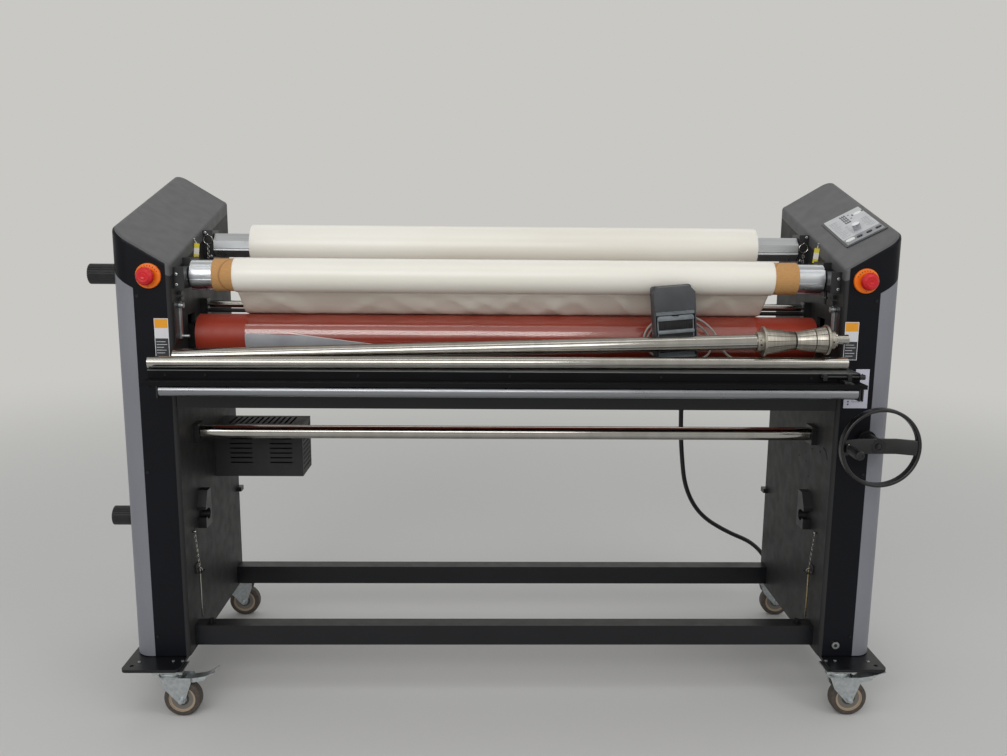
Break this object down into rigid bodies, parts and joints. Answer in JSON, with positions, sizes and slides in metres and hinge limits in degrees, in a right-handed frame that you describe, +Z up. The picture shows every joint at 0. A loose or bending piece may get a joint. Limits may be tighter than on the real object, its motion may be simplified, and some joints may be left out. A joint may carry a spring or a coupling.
{
  "type": "wide format roll laminator",
  "caption": "Wide format roll laminator: sloping end cabinets on casters joined by beams, with laminating and pull rollers, film supply shafts, feed table, handwheel and foot switch.",
  "frame": {"origin": "on the floor, under the middle of the machine's outer box", "axes": "+X to the operator's right along the rollers, +Y from the feed side to the back, +Z up"},
  "size_m": [2.2118, 1.1022, 1.4043],
  "materials": {
    "aluminium_bar": "satin",
    "black_block": "black anodised",
    "black_paint": "semi-gloss black paint",
    "black_plastic": "matte",
    "clear_film": "clear film",
    "cord_black": "matte",
    "dark_paint": "satin charcoal paint",
    "film": "satin film",
    "grey_plastic": "matte",
    "orange_plastic": "gloss",
    "polished": "polished",
    "red_plastic": "gloss",
    "red_silicone": "matte",
    "silver_paint": "silver textured paint",
    "table_metal": "brushed, worn",
    "tyre_grey": "matte",
    "white_plastic": "satin",
    "zinc": "zinc plated"
  },
  "bodies": {
    "frame": {"side_plates": "dark_paint", "side_covers": "silver_paint", "front_panels": "black_paint", "top_covers": "dark_paint", "base_frame": "black_paint", "feed_table": "table_metal", "table_beam": "black_paint", "shaft_brackets": "black_block", "lower_saddles": "black_block", "drive_box": "dark_paint", "control_panel": "black_plastic", "frame_hardware": "zinc", "stop_collars": "orange_plastic", "film_web": "film", "mains_cord": "cord_black", "mains_plug": "black_plastic", "foot_switch_cord": "grey_plastic", "foot_switch_housing": "grey_plastic"},
    "caster_front_left": {"caster_fork_front_left": "zinc"},
    "wheel_front_left": {"caster_wheel_front_left": "tyre_grey"},
    "brake_left": {"caster_brake_front_left": "zinc"},
    "caster_rear_left": {"caster_fork_rear_left": "zinc"},
    "wheel_rear_left": {"caster_wheel_rear_left": "tyre_grey"},
    "caster_front_right": {"caster_fork_front_right": "zinc"},
    "wheel_front_right": {"caster_wheel_front_right": "tyre_grey"},
    "brake_right": {"caster_brake_front_right": "zinc"},
    "caster_rear_right": {"caster_fork_rear_right": "zinc"},
    "wheel_rear_right": {"caster_wheel_rear_right": "tyre_grey"},
    "handwheel": {"handwheel": "black_paint"},
    "handle": {"handwheel_handle": "black_plastic"},
    "nip_carriage": {"nip_carriage": "zinc", "film_wrap": "clear_film"},
    "bottom_roller": {"bottom_roller": "red_silicone"},
    "top_roller": {"top_roller": "red_silicone"},
    "pull_roller_lower": {"pull_roller_lower": "red_silicone"},
    "pull_roller_upper": {"pull_roller_upper": "red_silicone"},
    "front_supply": {"front_supply_shaft": "aluminium_bar", "front_film_roll": "film"},
    "rear_supply": {"rear_supply_shaft": "aluminium_bar", "rear_film_roll": "film"},
    "lower_shaft": {"lower_shaft": "polished"},
    "chrome_idler": {"chrome_idler": "polished"},
    "table_idler": {"table_idler": "aluminium_bar"},
    "left_stop": {"left_stop_button": "red_plastic"},
    "right_stop": {"right_stop_button": "red_plastic"},
    "speed_knob": {"speed_knob": "aluminium_bar"},
    "panel_button_1": {"panel_button_1": "white_plastic"},
    "panel_button_2": {"panel_button_2": "black_plastic"},
    "panel_button_3": {"panel_button_3": "black_plastic"},
    "panel_button_4": {"panel_button_4": "black_plastic"},
    "upper_tension_knob": {"upper_tension_knob": "black_plastic"},
    "lower_tension_knob": {"lower_tension_knob": "black_plastic"},
    "loose_shaft_front": {"loose_shaft_front": "polished"},
    "loose_shaft_rear": {"loose_shaft_rear": "polished"},
    "core_chuck": {"core_chuck": "aluminium_bar"},
    "left_link": {"left_link_lever": "zinc"},
    "right_link": {"right_link_lever": "zinc"},
    "supply_lock": {"supply_lock_lever": "zinc"},
    "table_latch": {"table_latch_pin": "polished"},
    "foot_treadle": {"foot_switch_treadle": "black_plastic"}
  },
  "joints": [
    {"name": "caster_swivel_front_left", "type": "hinge", "parent": "frame", "child": "caster_front_left", "pos_m": [-0.8505, -0.256, 0.11], "axis": [0, 0, 1], "continuous": true},
    {"name": "caster_roll_front_left", "type": "hinge", "parent": "caster_front_left", "child": "wheel_front_left", "pos_m": [-0.8205, -0.256, 0.048], "axis": [0, 1, 0], "continuous": true},
    {"name": "caster_brake_left", "type": "hinge", "parent": "caster_front_left", "child": "brake_left", "pos_m": [-0.8045, -0.256, 0.101], "axis": [0, 1, 0], "range_deg": [0, 8]},
    {"name": "caster_swivel_rear_left", "type": "hinge", "parent": "frame", "child": "caster_rear_left", "pos_m": [-0.8505, 0.361, 0.11], "axis": [0, 0, 1], "continuous": true},
    {"name": "caster_roll_rear_left", "type": "hinge", "parent": "caster_rear_left", "child": "wheel_rear_left", "pos_m": [-0.8205, 0.361, 0.048], "axis": [0, 1, 0], "continuous": true},
    {"name": "caster_swivel_front_right", "type": "hinge", "parent": "frame", "child": "caster_front_right", "pos_m": [0.9015, -0.256, 0.11], "axis": [0, 0, 1], "continuous": true},
    {"name": "caster_roll_front_right", "type": "hinge", "parent": "caster_front_right", "child": "wheel_front_right", "pos_m": [0.9315, -0.256, 0.048], "axis": [0, 1, 0], "continuous": true},
    {"name": "caster_brake_right", "type": "hinge", "parent": "caster_front_right", "child": "brake_right", "pos_m": [0.9475, -0.256, 0.101], "axis": [0, 1, 0], "range_deg": [0, 8]},
    {"name": "caster_swivel_rear_right", "type": "hinge", "parent": "frame", "child": "caster_rear_right", "pos_m": [0.9015, 0.361, 0.11], "axis": [0, 0, 1], "continuous": true},
    {"name": "caster_roll_rear_right", "type": "hinge", "parent": "caster_rear_right", "child": "wheel_rear_right", "pos_m": [0.9315, 0.361, 0.048], "axis": [0, 1, 0], "continuous": true},
    {"name": "handwheel_turn", "type": "hinge", "parent": "frame", "child": "handwheel", "pos_m": [0.9425, -0.311, 0.741], "axis": [0, 1, 0], "range_deg": [0, 720]},
    {"name": "handle_fold", "type": "hinge", "parent": "handwheel", "child": "handle", "pos_m": [0.8595, -0.32, 0.741], "axis": [0, 0, 1], "range_deg": [0, 90]},
    {"name": "nip_lift", "type": "slide", "parent": "frame", "child": "nip_carriage", "axis": [0, 0, 1], "range_m": [0, 0.025]},
    {"name": "bottom_roller_spin", "type": "hinge", "parent": "frame", "child": "bottom_roller", "pos_m": [0.0255, -0.066, 0.87075], "axis": [1, 0, 0], "continuous": true},
    {"name": "top_roller_spin", "type": "hinge", "parent": "nip_carriage", "child": "top_roller", "pos_m": [0.0255, -0.066, 0.98125], "axis": [1, 0, 0], "continuous": true},
    {"name": "lower_pull_spin", "type": "hinge", "parent": "frame", "child": "pull_roller_lower", "pos_m": [0.0255, 0.224, 0.88575], "axis": [1, 0, 0], "continuous": true},
    {"name": "upper_pull_spin", "type": "hinge", "parent": "frame", "child": "pull_roller_upper", "pos_m": [0.0255, 0.224, 0.96625], "axis": [1, 0, 0], "continuous": true},
    {"name": "front_supply_turn", "type": "hinge", "parent": "frame", "child": "front_supply", "pos_m": [0.0255, -0.124, 1.143], "axis": [1, 0, 0], "continuous": true},
    {"name": "rear_supply_turn", "type": "hinge", "parent": "frame", "child": "rear_supply", "pos_m": [0.0255, 0.092, 1.211], "axis": [1, 0, 0], "continuous": true},
    {"name": "lower_shaft_turn", "type": "hinge", "parent": "frame", "child": "lower_shaft", "pos_m": [0.0255, -0.076, 0.72], "axis": [1, 0, 0], "continuous": true},
    {"name": "chrome_idler_turn", "type": "hinge", "parent": "frame", "child": "chrome_idler", "pos_m": [0.0255, 0.024, 1.054], "axis": [1, 0, 0], "continuous": true},
    {"name": "table_idler_turn", "type": "hinge", "parent": "frame", "child": "table_idler", "pos_m": [0.0255, -0.352, 0.885], "axis": [1, 0, 0], "continuous": true},
    {"name": "left_stop_press", "type": "slide", "parent": "frame", "child": "left_stop", "axis": [0, 1, 0], "range_m": [0, 0.005]},
    {"name": "right_stop_press", "type": "slide", "parent": "frame", "child": "right_stop", "axis": [0, 1, 0], "range_m": [0, 0.005]},
    {"name": "speed_turn", "type": "hinge", "parent": "frame", "child": "speed_knob", "pos_m": [0.94503, -0.06016, 1.27415], "axis": [-0.4943, -0.2475, 0.8333], "range_deg": [-135, 135]},
    {"name": "panel_button_press_1", "type": "slide", "parent": "frame", "child": "panel_button_1", "axis": [0.4943, 0.2475, -0.8333], "range_m": [0, 0.0015], "stiffness_N_per_m": 400},
    {"name": "panel_button_press_2", "type": "slide", "parent": "frame", "child": "panel_button_2", "axis": [0.4943, 0.2475, -0.8333], "range_m": [0, 0.0015], "stiffness_N_per_m": 400},
    {"name": "panel_button_press_3", "type": "slide", "parent": "frame", "child": "panel_button_3", "axis": [0.4943, 0.2475, -0.8333], "range_m": [0, 0.0015], "stiffness_N_per_m": 400},
    {"name": "panel_button_press_4", "type": "slide", "parent": "frame", "child": "panel_button_4", "axis": [0.4943, 0.2475, -0.8333], "range_m": [0, 0.0015], "stiffness_N_per_m": 400},
    {"name": "upper_tension_knob_turn", "type": "hinge", "parent": "frame", "child": "upper_tension_knob", "pos_m": [-0.9595, -0.124, 1.143], "axis": [-1, 0, 0], "range_deg": [0, 720]},
    {"name": "lower_tension_knob_turn", "type": "hinge", "parent": "frame", "child": "lower_tension_knob", "pos_m": [-0.9595, -0.076, 0.484], "axis": [-1, 0, 0], "range_deg": [0, 720]},
    {"name": "front_shaft_off", "type": "slide", "parent": "frame", "child": "loose_shaft_front", "axis": [0, -1, 0], "range_m": [0, 0.3]},
    {"name": "rear_shaft_lift", "type": "slide", "parent": "frame", "child": "loose_shaft_rear", "axis": [0, 0, 1], "range_m": [0, 0.25]},
    {"name": "chuck_slide", "type": "slide", "parent": "loose_shaft_rear", "child": "core_chuck", "axis": [0.9993, -0.0183, 0.0339], "range_m": [0, 0.25]},
    {"name": "left_link_swing", "type": "hinge", "parent": "frame", "child": "left_link", "pos_m": [-0.804, -0.166, 1.068], "axis": [1, 0, 0], "range_deg": [-60, 30]},
    {"name": "right_link_swing", "type": "hinge", "parent": "frame", "child": "right_link", "pos_m": [0.855, -0.166, 1.068], "axis": [1, 0, 0], "range_deg": [-60, 30]},
    {"name": "supply_lock_turn", "type": "hinge", "parent": "frame", "child": "supply_lock", "pos_m": [0.849, -0.124, 1.098], "axis": [0, 0, 1], "range_deg": [0, 90]},
    {"name": "table_latch_slide", "type": "slide", "parent": "frame", "child": "table_latch", "axis": [1, 0, 0], "range_m": [0, 0.015], "stiffness_N_per_m": 300},
    {"name": "foot_treadle_press", "type": "hinge", "parent": "frame", "child": "foot_treadle", "pos_m": [0.44893, -0.214, 0.95076], "axis": [0.9962, 0, 0.0872], "range_deg": [-8, 0], "stiffness_Nm_per_rad": 1}
  ],
  "couplings": [
    {"joint": "nip_lift", "follows": "handwheel_turn", "m_per_rad": 0.0019894},
    {"joint": "top_roller_spin", "follows": "bottom_roller_spin", "ratio": -1},
    {"joint": "lower_pull_spin", "follows": "bottom_roller_spin", "ratio": 1.375},
    {"joint": "upper_pull_spin", "follows": "bottom_roller_spin", "ratio": -1.375}
  ]
}
